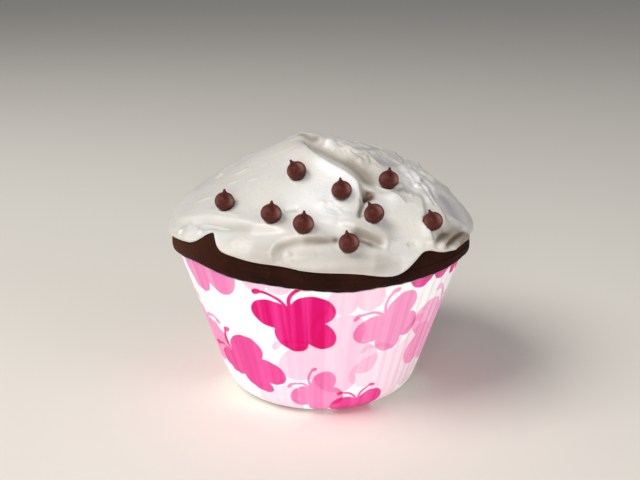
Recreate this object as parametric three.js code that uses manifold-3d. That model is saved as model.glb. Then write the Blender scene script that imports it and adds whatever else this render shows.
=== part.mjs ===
// A frosted cupcake in its fluted paper case, in millimetres with +Z up.
// It stands on z = 0 with its axis on Z. Angles run round that axis from the front (-Y)
// towards the right (+X).
//
// From the bottom up: the paper case, the cake that fills it and swells over its rim, the
// spread frosting that caps the cake, and nine chocolate drops pressed into the frosting.

import * as THREE from 'three';
import { mergeVertices } from 'three/addons/utils/BufferGeometryUtils.js';
import Module from 'manifold-3d';

// Driving dimensions, in millimetres.
const GAP = 0.35; // left between two pieces that touch

const CASE_FOOT_RADIUS = 23.7; // where the line of the wall meets the floor
const CASE_WALL_SLOPE = 0.33; // radius gained per millimetre of height
const CASE_CORNER_RADIUS = 6.5;
const CASE_THICKNESS = 0.5; // pressed paper with its flutes' folds
const CASE_FLUTES = 60;
const CASE_FLUTE_DEPTH = 0.5;
const CASE_FLUTE_START = 1.5; // height where the flutes begin to rise out of the corner
const CASE_FLUTE_FULL = 10; // height where they have their full depth

const CAKE_RADIUS = 37.9;
const CAKE_TOP_HEIGHT = 53.5;
const CAKE_DOME_POWER = 2.2; // 2 is an ellipse, more is squarer in the shoulder
const CAKE_LIP_HEIGHT = 37.4; // lower edge of the swollen rim
const CAKE_LIP_RISE = 3.3; // height from that edge to the widest place

const FROSTING_RADIUS = 38.2;
const FROSTING_PEAK = new THREE.Vector3(-3.4, 2.5, 64.8); // the peak lies off the axis
const FROSTING_SHOULDER_HEIGHT = 43.2; // where the flank turns upright
const FROSTING_POWER = 1.45; // 1 is a cone, 2 an ellipse
const FROSTING_POWER_SWING = 0.08; // fuller on the right, straighter on the left
const FROSTING_HEM_HEIGHT = 42; // lower edge, before its lobes and notches
const FROSTING_HEM_ROLL = 0.45; // radius of the rounded edge
const FROSTING_HEM_SWELL = 0.35; // how far the edge bulges out
const FROSTING_HEM_SWELL_WIDTH = 2;
const FROSTING_CEILING = 0.6; // room over the cake at the axis

const DROP_RADIUS = 2.33;
const DROP_BELLY_RISE = 2.16; // half the height of the belly, which is a little flat
const DROP_BELLY_HEIGHT = 1.95; // height of the widest place over the flat base
const DROP_HEIGHT = 4.95;
const DROP_SHOULDER = 58; // degrees above the belly where the round turns into the tip
const DROP_TIP_RADIUS = 0.26;
const DROP_SINK = 0.7; // how deep the round belly is pressed into the frosting

// Lobes round an edge: the angle and half width in degrees, then the rise in millimetres.
const CAKE_LIP_LOBES = [
  [-96, 12.5, -3.2],
  [-52, 14, 2.1],
  [-19, 8, 0.8],
  [11.5, 6, -0.5],
  [86, 8.5, -2.6],
  [150, 25, 0.6],
];
const FROSTING_HEM_LOBES = [
  [-108, 18, -1.8],
  [-43.5, 20, 2.3],
  [-44.4, 3.4, 2.9],
  [-13.5, 5.5, 0.5],
  [27, 8.5, -2.1],
  [37.5, 5.5, 2.7],
  [75, 26, 0.8],
  [128, 6, 3],
  [160, 16, -1],
  [-142, 6, 3.6],
];

// Knife strokes in the frosting. Each has its height, its width on the left and on the
// right of the way it runs, and stops on its way: the angle in degrees and the station,
// which is 0 on the peak and 1 where the flank turns upright. One stop makes a round lump.
const FROSTING_STROKES = [
  // The crest of the left sheet, the valley beside it, and the hollow at its foot.
  {
    height: 1.7,
    left: 1,
    right: 5,
    stops: [
      [-140, 0.1], [-11, 0.22], [4, 0.305], [14, 0.37],
      [20, 0.425], [24, 0.495], [21, 0.56], [16, 0.645],
    ],
  },
  {
    height: -1.5,
    left: 2.8,
    right: 2.8,
    stops: [[40, 0.075], [16, 0.155], [31, 0.265], [38, 0.345], [36, 0.43], [29, 0.51]],
  },
  {
    height: -0.6,
    left: 2.2,
    right: 2.2,
    stops: [[45, 0.23], [46, 0.325], [43, 0.41], [38, 0.485], [32, 0.555]],
  },
  { height: -2, left: 1.8, right: 1.8, stops: [[27, 0.535]] },
  // The brow behind the crest, and the scoop and shoulder down the left flank.
  { height: 0.6, left: 4.5, right: 4.5, stops: [[-160, 0.11]] },
  { height: -1.3, left: 8, right: 8, stops: [[-104, 0.56]] },
  { height: 0.9, left: 5.5, right: 5.5, stops: [[-92, 0.77]] },
  { height: -0.6, left: 2.4, right: 2.4, stops: [[-113, 0.36]] },
  { height: -0.5, left: 5, right: 5, stops: [[-120, 0.34]] },
  { height: 0.7, left: 3.5, right: 3.5, stops: [[-103, 0.4]] },
  // Lumps and scoops behind the valley, as far as the rough skyline on the right.
  { height: 1, left: 1.8, right: 1.8, stops: [[50, 0.165]] },
  { height: 0.5, left: 1.5, right: 1.5, stops: [[60, 0.25]] },
  { height: -0.7, left: 3.8, right: 3.8, stops: [[72, 0.395]] },
  { height: -0.9, left: 4, right: 4, stops: [[135, 0.34]] },
  { height: -0.6, left: 2.5, right: 2.5, stops: [[115, 0.24]] },
  { height: 0.6, left: 1.1, right: 1.8, stops: [[110, 0.43], [100, 0.5], [90, 0.57], [82, 0.62]] },
  { height: 0.9, left: 1.1, right: 1.6, stops: [[76, 0.435], [71, 0.505], [65, 0.565]] },
  { height: 0.7, left: 2.6, right: 2.6, stops: [[107, 0.545]] },
  { height: 0.7, left: 2.2, right: 2.2, stops: [[111, 0.45]] },
  { height: -0.6, left: 2.6, right: 2.6, stops: [[97, 0.6]] },
  { height: -0.6, left: 2.6, right: 2.6, stops: [[103, 0.49]] },
  { height: -1.6, left: 1.6, right: 1.6, stops: [[101, 0.65]] },
  { height: -1, left: 1.4, right: 1.4, stops: [[94, 0.635]] },
  { height: 0.6, left: 1.8, right: 1.8, stops: [[98, 0.73]] },
  { height: -1.1, left: 3, right: 3, stops: [[96, 0.78]] },
  // The flat plane at the far right, its raised edge, and the long scoop left of that.
  { height: -0.5, left: 3.8, right: 3.8, stops: [[78, 0.66], [72, 0.74], [66, 0.835]] },
  {
    height: 0.9,
    left: 1.1,
    right: 2.6,
    stops: [[71, 0.56], [62, 0.61], [58, 0.665], [57, 0.735], [53, 0.805]],
  },
  { height: -0.7, left: 2.4, right: 2.4, stops: [[33, 0.585], [30, 0.655], [29, 0.735], [29, 0.825]] },
  { height: 0.6, left: 1.8, right: 1.8, stops: [[39, 0.58]] },
  // The lobe on the right, which ends upright, and the ridges that run down beside it.
  {
    height: 1.2,
    left: 1,
    right: 4,
    stops: [[56, 0.585], [49, 0.655], [44, 0.745], [42, 0.845], [40, 0.945]],
  },
  { height: 0.8, left: 0.9, right: 0.9, stops: [[44, 0.95], [48, 0.905], [55, 0.875], [66, 0.88]] },
  { height: 0.8, left: 0.9, right: 0.9, stops: [[50, 1.02], [55, 0.995], [62, 0.965], [69, 0.975]] },
  // The fold across the front, the wedge that it leaves, and the roll under it.
  {
    height: 1.4,
    left: 5,
    right: 1,
    stops: [[-17, 1.005], [-16, 0.88], [-14, 0.81], [-9, 0.765], [-2, 0.755], [7, 0.745]],
  },
  {
    height: 1.1,
    left: 4,
    right: 1,
    stops: [[7, 0.675], [13, 0.695], [18, 0.725], [22, 0.775], [25, 0.845]],
  },
  { height: -1.2, left: 1.2, right: 1.2, stops: [[11, 0.735], [16, 0.76], [20, 0.79], [24, 0.825]] },
  {
    height: 0.6,
    left: 1.8,
    right: 1.8,
    stops: [[-12, 0.925], [-3, 0.885], [6, 0.905], [16, 0.935], [26, 0.965]],
  },
  // The edge of the sheet along the left, and the lobes that bulge under it.
  {
    height: 1,
    left: 5,
    right: 1,
    stops: [
      [-79, 0.87], [-62, 0.765], [-48, 0.725], [-36, 0.71],
      [-27, 0.715], [-17, 0.715], [-9, 0.725],
    ],
  },
  {
    height: -0.5,
    left: 1.1,
    right: 1.1,
    stops: [[-60, 0.785], [-46, 0.755], [-34, 0.735], [-24, 0.725]],
  },
  { height: 0.9, left: 3, right: 3, stops: [[-56, 0.845]] },
  { height: 0.6, left: 3, right: 3, stops: [[-30, 0.82]] },
  // The small crease above the front drops and the lumps beside it.
  { height: -0.5, left: 0.8, right: 0.8, stops: [[-15, 0.62], [-12, 0.605], [-8, 0.595]] },
  { height: 0.5, left: 1.5, right: 1.5, stops: [[2, 0.575]] },
  { height: 0.6, left: 1.7, right: 1.7, stops: [[6, 0.65]] },
];

// Round the back the frosting is spread in a few more turns of the knife, all alike.
const BACK_SWATHES = 4;
const BACK_SWATHE_START = 118;
const BACK_SWATHE_STEP = 40;
const BACK_SWATHE_BEND = 14;
const BACK_SWATHE_TURN = 36;
for (let swathe = 0; swathe < BACK_SWATHES; swathe += 1) {
  const start = BACK_SWATHE_START + swathe * BACK_SWATHE_STEP;
  FROSTING_STROKES.push({
    height: 1.1,
    left: 1.2,
    right: 5,
    stops: [[start, 0.93], [start + BACK_SWATHE_BEND, 0.66], [start + BACK_SWATHE_TURN, 0.42]],
  });
}

// The chocolate drops: where each sits on the frosting, and how far it leans to the left.
const DROPS = [
  { angle: -43.8, station: 0.634, lean: -2 },
  { angle: -11.3, station: 0.42, lean: 29 },
  { angle: 12.5, station: 0.538, lean: 7 },
  { angle: 43.2, station: 0.504, lean: -4 },
  { angle: -18.5, station: 0.664, lean: -3 },
  { angle: -5.5, station: 0.71, lean: -4 },
  { angle: 22.4, station: 0.667, lean: 26 },
  { angle: 9.8, station: 0.806, lean: 12 },
  { angle: 45.7, station: 0.766, lean: 18 },
];

// The colour and roughness of each substance.
const PAPER = { color: 0xf7f0f3, roughness: 0.7 };
const SPONGE = { color: 0x2e1712, roughness: 0.85 };
const FROSTING = { color: 0xe9e6e1, roughness: 0.45 };
const CHOCOLATE = { color: 0x552820, roughness: 0.4 };

// How finely each piece is divided.
const CASE_STEPS = CASE_FLUTES * 2;
const CORNER_STEPS = 3;
const ROUND_STEPS = 96; // round the cake and round the frosting
const ROUND_CROWDING = 0.35;
const CAKE_LIP_STEPS = 3;
const CAKE_DOME_ROWS = 8;
const FROSTING_ROWS = 20;
const FROSTING_CEILING_ROWS = 6;
const STROKE_STEPS = 14;
const DROP_STEPS = 12;
const DROP_BELLY_ROWS = 4;
const DROP_TIP_ROWS = 3;

const UP = new THREE.Vector3(0, 0, 1);
const QUARTER_TURN = Math.PI / 2;
const SKIRT_HEIGHT = 30; // height that one station spans below the shoulder
const TINY = 0.002;
const STROKE_FADE = 0.2; // part of a stroke's way over which each end dies away
const CURVE_TENSION = 0.5;
const MERGE_DISTANCE = 1e-4;

// An edge height that rises and falls in lobes round the axis.
function edgeHeight(height, lobes, angle) {
  let result = height;
  for (const [middle, width, rise] of lobes) {
    const turn = THREE.MathUtils.radToDeg(angle) - middle;
    const apart = THREE.MathUtils.euclideanModulo(turn + 180, 360) - 180;
    result += rise * Math.exp(-0.5 * (apart / width) ** 2);
  }
  return result;
}

function atRadius(angle, radius, height) {
  return new THREE.Vector3(radius * Math.sin(angle), -radius * Math.cos(angle), height);
}

// A closed skin from sections: every section starts on one point of the axis, goes out,
// up and over, and ends on another point of the axis. Crowding draws the sections together
// at the front: 0 spaces them evenly.
function closedSkin(sectionAt, steps, crowding) {
  const sections = [];
  for (let step = 0; step < steps; step += 1) {
    const angle = (step / steps) * 2 * Math.PI;
    sections.push(sectionAt(angle - crowding * Math.sin(angle), step));
  }
  const rings = sections[0].length - 2;
  const corners = [sections[0][0], sections[0][rings + 1]];
  for (const section of sections) {
    corners.push(...section.slice(1, -1));
  }
  const corner = (step, ring) => 2 + (step % steps) * rings + ring;
  const faces = [];
  for (let step = 0; step < steps; step += 1) {
    faces.push(0, corner(step + 1, 0), corner(step, 0));
    for (let ring = 0; ring < rings - 1; ring += 1) {
      const low = corner(step, ring);
      const lowNext = corner(step + 1, ring);
      const high = corner(step, ring + 1);
      const highNext = corner(step + 1, ring + 1);
      faces.push(low, lowNext, highNext, low, highNext, high);
    }
    faces.push(1, corner(step, rings - 1), corner(step + 1, rings - 1));
  }
  const geometry = new THREE.BufferGeometry().setFromPoints(corners);
  geometry.setIndex(faces);
  return geometry;
}

// The cup's section, moved inwards by an inset: its rounded corner, from the floor up.
const wallTilt = Math.atan(CASE_WALL_SLOPE);
const cornerCentre = CASE_FOOT_RADIUS
  - CASE_CORNER_RADIUS * (1 - Math.sin(wallTilt)) / Math.cos(wallTilt);

function cupCorner(inset) {
  const points = [];
  for (let step = 0; step <= CORNER_STEPS; step += 1) {
    const turn = -QUARTER_TURN + (step / CORNER_STEPS) * (QUARTER_TURN - wallTilt);
    const reach = CASE_CORNER_RADIUS - inset;
    points.push([cornerCentre + reach * Math.cos(turn), CASE_CORNER_RADIUS + reach * Math.sin(turn)]);
  }
  return points;
}

function cupWallRadius(height, inset) {
  return CASE_FOOT_RADIUS + CASE_WALL_SLOPE * height - inset / Math.cos(wallTilt);
}

const cakeLipHeight = (angle) => edgeHeight(CAKE_LIP_HEIGHT, CAKE_LIP_LOBES, angle);

// The paper case: a thin cup of folded flutes that fade into its rounded corner. Its rim
// ends just under the swollen edge of the cake.
function caseGeometry() {
  const fold = (height, step) => {
    const rise = THREE.MathUtils.smoothstep(height, CASE_FLUTE_START, CASE_FLUTE_FULL);
    return (step % 2 ? -0.5 : 0.5) * CASE_FLUTE_DEPTH * rise;
  };
  const sectionAt = (angle, step) => {
    const rim = cakeLipHeight(angle) - GAP;
    const side = (inset) => {
      const profile = cupCorner(inset);
      profile.push([cupWallRadius(CASE_FLUTE_FULL, inset), CASE_FLUTE_FULL]);
      profile.push([cupWallRadius(rim, inset), rim]);
      return profile.map(([radius, height]) => atRadius(angle, radius + fold(height, step), height));
    };
    const outside = side(0);
    const inside = side(CASE_THICKNESS).reverse();
    return [atRadius(angle, 0, 0), ...outside, ...inside, atRadius(angle, 0, CASE_THICKNESS)];
  };
  return closedSkin(sectionAt, CASE_STEPS, 0);
}

// The dome of the cake, or a skin over it that is wider and higher. The turn is a quarter
// turn at the swollen rim and 0 at the top.
function cakeDomePoint(angle, turn, wider, higher) {
  const foot = cakeLipHeight(angle) + CAKE_LIP_RISE;
  const outwards = Math.sin(turn) ** (2 / CAKE_DOME_POWER);
  const upwards = Math.cos(turn) ** (2 / CAKE_DOME_POWER);
  const height = foot + (CAKE_TOP_HEIGHT + higher - foot) * upwards;
  return atRadius(angle, (CAKE_RADIUS + wider) * outwards, height);
}

// The cake fills the case, swells out over its rim and rises in a dome under the frosting.
function cakeGeometry() {
  const inset = CASE_THICKNESS + GAP + CASE_FLUTE_DEPTH / 2;
  const sectionAt = (angle) => {
    const lip = cakeLipHeight(angle);
    const section = [atRadius(angle, 0, inset)];
    for (const [radius, height] of cupCorner(inset)) {
      section.push(atRadius(angle, radius, height));
    }
    section.push(atRadius(angle, cupWallRadius(lip, inset), lip));
    const rim = cupWallRadius(lip, 0);
    for (let step = 0; step < CAKE_LIP_STEPS; step += 1) {
      const turn = (step / CAKE_LIP_STEPS) * QUARTER_TURN;
      const radius = rim + (CAKE_RADIUS - rim) * Math.sin(turn);
      section.push(atRadius(angle, radius, lip + CAKE_LIP_RISE * (1 - Math.cos(turn))));
    }
    for (let row = 0; row < CAKE_DOME_ROWS; row += 1) {
      const turn = QUARTER_TURN * (1 - row / CAKE_DOME_ROWS);
      section.push(cakeDomePoint(angle, turn, 0, 0));
    }
    section.push(atRadius(angle, 0, CAKE_TOP_HEIGHT));
    return section;
  };
  return closedSkin(sectionAt, ROUND_STEPS, ROUND_CROWDING);
}

// The frosting before its knife strokes: a lopsided dome from the peak out to the shoulder,
// then upright below it.
function domePoint(angle, station) {
  const power = 2 / (FROSTING_POWER + FROSTING_POWER_SWING * Math.sin(angle));
  const turn = Math.min(station, 1) * QUARTER_TURN;
  const outwards = Math.sin(turn) ** power;
  const upwards = Math.cos(turn) ** power;
  const height = FROSTING_SHOULDER_HEIGHT
    + (FROSTING_PEAK.z - FROSTING_SHOULDER_HEIGHT) * upwards
    - SKIRT_HEIGHT * Math.max(station - 1, 0);
  const point = atRadius(angle, FROSTING_RADIUS * outwards, height);
  point.x += FROSTING_PEAK.x * (1 - outwards);
  point.y += FROSTING_PEAK.y * (1 - outwards);
  return point;
}

function domeNormal(angle, station) {
  if (station < TINY) {
    return UP.clone();
  }
  const around = domePoint(angle + TINY, station).sub(domePoint(angle - TINY, station));
  const down = domePoint(angle, station + TINY).sub(domePoint(angle, station - TINY));
  return down.cross(around).normalize();
}

const frostingHem = (angle) => edgeHeight(FROSTING_HEM_HEIGHT, FROSTING_HEM_LOBES, angle);

// The station where the outside of the frosting reaches its rounded hem.
function hemStation(angle) {
  const height = frostingHem(angle) + FROSTING_HEM_ROLL;
  const above = height - FROSTING_SHOULDER_HEIGHT;
  if (above <= 0) {
    return 1 - above / SKIRT_HEIGHT;
  }
  const power = 2 / (FROSTING_POWER + FROSTING_POWER_SWING * Math.sin(angle));
  const upwards = above / (FROSTING_PEAK.z - FROSTING_SHOULDER_HEIGHT);
  return Math.acos(upwards ** (1 / power)) / QUARTER_TURN;
}

// A stroke's way over the dome, as points on a smooth curve through its stops.
function strokeWay(stops) {
  const spots = stops.map(([angle, station]) => domePoint(THREE.MathUtils.degToRad(angle), station));
  if (spots.length === 1) {
    return spots;
  }
  return new THREE.CatmullRomCurve3(spots, false, 'catmullrom', CURVE_TENSION).getPoints(STROKE_STEPS);
}

const strokes = FROSTING_STROKES.map((stroke) => ({ ...stroke, way: strokeWay(stroke.stops) }));

// What one stroke adds at a point. It is full along the middle of its way, dies away at
// both ends, and falls off over its own width on each side.
function strokeRise(stroke, point, normal) {
  const { way } = stroke;
  if (way.length === 1) {
    return stroke.height * Math.exp(-((point.distanceTo(way[0]) / stroke.left) ** 2));
  }
  let nearest = Infinity;
  let side = 0;
  let along = 0;
  const piece = new THREE.Line3();
  const foot = new THREE.Vector3();
  for (let index = 0; index < way.length - 1; index += 1) {
    piece.set(way[index], way[index + 1]);
    const part = piece.closestPointToPointParameter(point, true);
    piece.at(part, foot);
    const distance = foot.distanceTo(point);
    if (distance < nearest) {
      nearest = distance;
      along = (index + part) / (way.length - 1);
      const leftwards = new THREE.Vector3().crossVectors(normal, piece.delta(new THREE.Vector3()));
      side = leftwards.dot(foot.subVectors(point, foot));
    }
  }
  const ends = THREE.MathUtils.smoothstep(Math.min(along, 1 - along), 0, STROKE_FADE);
  const width = side > 0 ? stroke.left : stroke.right;
  return stroke.height * ends * Math.exp(-((nearest / width) ** 2));
}

// A point on the finished outside of the frosting, with the normal of the dome under it.
function frostingPoint(angle, station) {
  const point = domePoint(angle, station);
  const normal = domeNormal(angle, station);
  const hem = domePoint(angle, hemStation(angle)).distanceTo(point);
  let rise = FROSTING_HEM_SWELL * Math.exp(-((hem / FROSTING_HEM_SWELL_WIDTH) ** 2));
  for (const stroke of strokes) {
    rise += strokeRise(stroke, point, normal);
  }
  return { point: point.addScaledVector(normal, rise), normal };
}

// The turn on the cake's dome where the inside of the frosting reaches a height.
function ceilingTurn(angle, height) {
  const foot = cakeLipHeight(angle) + CAKE_LIP_RISE;
  const upwards = (height - foot) / (CAKE_TOP_HEIGHT + FROSTING_CEILING - foot);
  return Math.acos(upwards ** (CAKE_DOME_POWER / 2));
}

// The frosting: its ceiling lies over the cake, its hem is rolled round, and its outside
// climbs to the peak.
function frostingGeometry() {
  const sectionAt = (angle) => {
    const hem = frostingHem(angle);
    const innerTurn = ceilingTurn(angle, hem + FROSTING_HEM_ROLL);
    const section = [new THREE.Vector3(0, 0, CAKE_TOP_HEIGHT + FROSTING_CEILING)];
    for (let row = 1; row <= FROSTING_CEILING_ROWS; row += 1) {
      const turn = innerTurn * Math.sin((row / FROSTING_CEILING_ROWS) * QUARTER_TURN);
      section.push(cakeDomePoint(angle, turn, GAP, FROSTING_CEILING));
    }
    const inner = section[FROSTING_CEILING_ROWS];
    const outer = frostingPoint(angle, hemStation(angle)).point;
    const lowest = inner.clone().lerp(outer, 0.5);
    lowest.z = hem;
    section.push(lowest);
    for (let row = FROSTING_ROWS; row > 0; row -= 1) {
      const station = hemStation(angle) * (row / FROSTING_ROWS);
      section.push(frostingPoint(angle, station).point);
    }
    section.push(frostingPoint(0, 0).point);
    return section;
  };
  return closedSkin(sectionAt, ROUND_STEPS, ROUND_CROWDING);
}

// A chocolate drop: a flat base, a round belly, and a short pulled tip. The swell makes it
// larger all over, for the hollow that it leaves in the frosting.
function dropGeometry(swell) {
  const radius = DROP_RADIUS + swell;
  const rise = DROP_BELLY_RISE + swell;
  const base = -Math.asin((DROP_BELLY_HEIGHT + swell) / rise);
  const shoulder = THREE.MathUtils.degToRad(DROP_SHOULDER);
  const onBelly = (turn) => {
    return new THREE.Vector2(radius * Math.cos(turn), DROP_BELLY_HEIGHT + rise * Math.sin(turn));
  };
  const profile = [new THREE.Vector2(0, -swell)];
  for (let row = 0; row <= DROP_BELLY_ROWS; row += 1) {
    profile.push(onBelly(base + (row / DROP_BELLY_ROWS) * (shoulder - base)));
  }
  const tip = new THREE.Vector2(DROP_TIP_RADIUS + swell, DROP_HEIGHT + swell / 2);
  const waist = new THREE.Vector2(DROP_TIP_RADIUS + swell, DROP_BELLY_HEIGHT + rise);
  const neck = new THREE.QuadraticBezierCurve(profile[profile.length - 1], waist, tip);
  profile.push(...neck.getPoints(DROP_TIP_ROWS).slice(1));
  profile.push(new THREE.Vector2(0, DROP_HEIGHT + swell));
  return new THREE.LatheGeometry(profile, DROP_STEPS).rotateX(QUARTER_TURN);
}

// Puts a drop where it sits: its belly pressed into the frosting, its tip up.
function seatDrop(mesh, { angle, station, lean }) {
  const { point, normal } = frostingPoint(THREE.MathUtils.degToRad(angle), station);
  const leaning = THREE.MathUtils.degToRad(lean);
  const axis = new THREE.Vector3(-Math.sin(leaning), 0, Math.cos(leaning));
  mesh.position.copy(point).addScaledVector(normal, DROP_RADIUS - DROP_SINK);
  mesh.position.addScaledVector(axis, -DROP_BELLY_HEIGHT);
  mesh.quaternion.setFromUnitVectors(UP, axis);
  mesh.updateMatrixWorld();
}

const wasm = await Module();
wasm.setup();

// A solid that can be cut, from a closed geometry whose shared corners are merged.
function toSolid(geometry) {
  const bare = geometry.clone();
  bare.deleteAttribute('normal');
  bare.deleteAttribute('uv');
  const merged = mergeVertices(bare, MERGE_DISTANCE);
  const { array } = merged.attributes.position;
  const triangles = [];
  for (let at = 0; at < merged.index.count; at += 3) {
    const [a, b, c] = [0, 1, 2].map((next) => merged.index.getX(at + next));
    if (a !== b && b !== c && c !== a) {
      triangles.push(a, b, c);
    }
  }
  return new wasm.Manifold(new wasm.Mesh({
    numProp: 3,
    vertProperties: new Float32Array(array),
    triVerts: new Uint32Array(triangles),
  }));
}

function toGeometry(solid) {
  const { vertProperties, triVerts } = solid.getMesh();
  const geometry = new THREE.BufferGeometry();
  geometry.setAttribute('position', new THREE.BufferAttribute(vertProperties, 3));
  geometry.setIndex(new THREE.BufferAttribute(triVerts, 1));
  return geometry;
}

function piece(name, geometry, substance) {
  const material = new THREE.MeshStandardMaterial({ ...substance, metalness: 0 });
  const mesh = new THREE.Mesh(geometry, material);
  mesh.name = name;
  return mesh;
}

const cupcake = new THREE.Group();
cupcake.add(piece('paper_case', caseGeometry(), PAPER));
cupcake.add(piece('cake', cakeGeometry(), SPONGE));

// Each drop presses a hollow of its own shape into the frosting, a gap wider all round.
let frosting = toSolid(frostingGeometry());
DROPS.forEach((seat, index) => {
  const drop = piece(`drop_${index + 1}`, dropGeometry(0), CHOCOLATE);
  seatDrop(drop, seat);
  frosting = frosting.subtract(toSolid(dropGeometry(GAP).applyMatrix4(drop.matrixWorld)));
  cupcake.add(drop);
});
cupcake.add(piece('frosting', toGeometry(frosting), FROSTING));

export default cupcake;
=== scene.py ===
import math

import bpy
import numpy as np
from mathutils import Matrix, Vector, noise


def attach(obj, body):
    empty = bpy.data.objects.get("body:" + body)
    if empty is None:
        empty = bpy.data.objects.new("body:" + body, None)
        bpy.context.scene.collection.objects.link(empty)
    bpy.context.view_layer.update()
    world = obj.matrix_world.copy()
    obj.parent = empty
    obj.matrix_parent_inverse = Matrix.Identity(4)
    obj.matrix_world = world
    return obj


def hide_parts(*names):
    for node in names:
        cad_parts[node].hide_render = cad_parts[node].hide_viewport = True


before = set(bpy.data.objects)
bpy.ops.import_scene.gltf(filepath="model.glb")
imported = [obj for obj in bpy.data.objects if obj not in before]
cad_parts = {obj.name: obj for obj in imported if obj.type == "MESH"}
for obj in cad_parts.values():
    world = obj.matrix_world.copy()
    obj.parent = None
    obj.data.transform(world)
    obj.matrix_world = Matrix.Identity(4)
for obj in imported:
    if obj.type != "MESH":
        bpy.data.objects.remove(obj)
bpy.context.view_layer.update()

# ----------------------------------------
# The paper case: a cup of thin greaseproof paper, pressed into flutes that fade into its
# rounded corner. Its white outside is printed with butterflies in seven see-through pinks,
# one ink over another, and the ink carries painted streaks of shade from the folded flutes.

MM = 0.001
CASE_FOOT_RADIUS = 23.7
CASE_WALL_SLOPE = 0.33
CASE_CORNER_RADIUS = 6.5
CASE_THICKNESS = 0.4
CASE_FLUTES = 60
CASE_FLUTE_DEPTH = 0.24
CASE_FLUTE_START = 1.5
CASE_FLUTE_FULL = 10
CASE_FLUTE_SOFTNESS = 0.96
CASE_FLUTE_UNEVENNESS = 0.25
CASE_RIM_WAVE = 0.06
CASE_GAP = 0.35

CAKE_LIP_HEIGHT = 37.4
CAKE_LIP_LOBES = [
    (-96, 12.5, -3.2),
    (-52, 14, 2.1),
    (-19, 8, 0.8),
    (11.5, 6, -0.5),
    (86, 8.5, -2.6),
    (150, 25, 0.6),
]

PAPER_WHITE = "#FEFCFD"
# In millimetres: half of an ink's soft edge, and a distance that is clear of every ink.
INK_EDGE = 0.12
FAR_FROM_INK = 9.0
# Where the painted streaks of flute shade are read: on an even tube, and hardly changing upwards.
STREAK_RADIUS = 30.0
STREAK_CLIMB = 0.03
# Each ink is a pair of shades, lighter and darker, mixed in streaks of painted flute shade.
INKS = {
    "pale": ("#FDE7F2", "#FBE1EE"),
    "blush": ("#FBDAEA", "#F9CDE4"),
    "light": ("#F9A3CE", "#F297C6"),
    "second_light": ("#FFC1E1", "#FCB3D7"),
    "rose": ("#F4A0CC", "#EC86BC"),
    "mid": ("#F05CA6", "#E54B99"),
    "hot": ("#EC3591", "#D9036F"),
}

# The butterflies: ink, angle, height of the middle, half of the wing span and the turn. For
# some also how far the body leans, and how much of its width the left half shows.
BUTTERFLIES = [
    ("hot", -9.6, 28.0, 10.2, 10, 0.2, 0.95),
    ("mid", -40.5, 12.2, 10.6, 43, 0.25, 0.66),
    ("rose", -50.5, 43.2, 14.4, 10),
    ("light", -71.0, 17.5, 10.0, -25),
    ("light", 30.8, 26.0, 9.0, 38),
    ("second_light", 64.5, 19.6, 12.4, -12),
    ("rose", -1.2, 6.9, 6.9, 44, -0.1, 1),
    ("mid", 21.5, 1.6, 6.8, 10),
    ("mid", 46.5, 44.3, 12.0, 4),
    ("mid", 70.0, 41.0, 9.0, -6),
    ("blush", 13.0, 38.2, 9.6, 6),
    ("blush", -20.0, 42.6, 9.0, 0),
    ("blush", 5.5, 18.0, 12.4, 45),
    ("pale", 42.0, 12.0, 12.6, 22),
    ("pale", -22.0, 3.8, 6.0, 25),
]
# The same sheet comes round again at the back, and these fill the two joins.
SIDE_BUTTERFLIES = [
    ("hot", 95, 10.5, 8.2, -22, 0.1, 1),
    ("rose", 93, 30.0, 8.0, 16),
    ("blush", 104, 20.0, 9.5, 40),
    ("mid", -95, 9.0, 8.0, 24, 0.1, 1),
    ("light", -92, 30.5, 8.2, -14),
    ("pale", -102, 20.5, 9.5, 50),
]
# One butterfly, in halves of its span: its wings, body and feelers on the right side.
UPPER_WING = (0.5, 0.3, 0.51, 0.42, 10)
LOWER_WING = (0.34, -0.42, 0.36, 0.42, -20)
BODY = (0.0, -0.02, 0.24, 0.54, 0)
FEELER = ((0.04, 0.46), (0.1, 0.86), (0.56, 0.96))
FEELER_HALF_WIDTH = 0.045
FEELER_KNOB = (0.6, 0.95, 0.13, 0.075, -16)
BUTTERFLY_REACH = 1.5

CASE_STEPS = 720
CASE_WALL_ROWS = 96
CASE_CORNER_ROWS = 9
CASE_INSIDE_ROWS = 4
CASE_FLOOR_RINGS = (6.0, 12.0, 16.0)

wall_tilt = math.atan(CASE_WALL_SLOPE)
corner_inset = CASE_CORNER_RADIUS * (1 - math.sin(wall_tilt)) / math.cos(wall_tilt)
corner_centre = CASE_FOOT_RADIUS - corner_inset


def at_radius(angle, radius, height):
    """Points round the axis, from arrays of angles, radii and heights."""
    angle, radius, height = np.broadcast_arrays(angle, radius, height)
    return np.stack([radius * np.sin(angle), -radius * np.cos(angle), height * 1.0], axis=-1)


def edge_height(height, lobes, angle):
    """An edge that rises and falls in lobes: middle and half width in degrees, then the rise."""
    result = height + 0 * angle
    for middle, width, rise in lobes:
        apart = (np.degrees(angle) - middle + 180) % 360 - 180
        result = result + rise * np.exp(-0.5 * (apart / width) ** 2)
    return result


def smoothstep(value, low, high):
    part = np.clip((value - low) / (high - low), 0, 1)
    return part * part * (3 - 2 * part)


def cup_wall_radius(height, inset):
    return CASE_FOOT_RADIUS + CASE_WALL_SLOPE * height - inset / math.cos(wall_tilt)


def cup_corner(inset, rows):
    """The rounded corner of the cup's section, from the floor up: radii and heights."""
    turn = np.linspace(-math.pi / 2, -wall_tilt, rows + 1)
    reach = CASE_CORNER_RADIUS - inset
    return corner_centre + reach * np.cos(turn), CASE_CORNER_RADIUS + reach * np.sin(turn)


def spaced_angles(steps, crowding):
    """Angles all the way round, drawn together at the front by the crowding."""
    angle = np.arange(steps) / steps * 2 * math.pi
    return angle - crowding * np.sin(angle)


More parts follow.
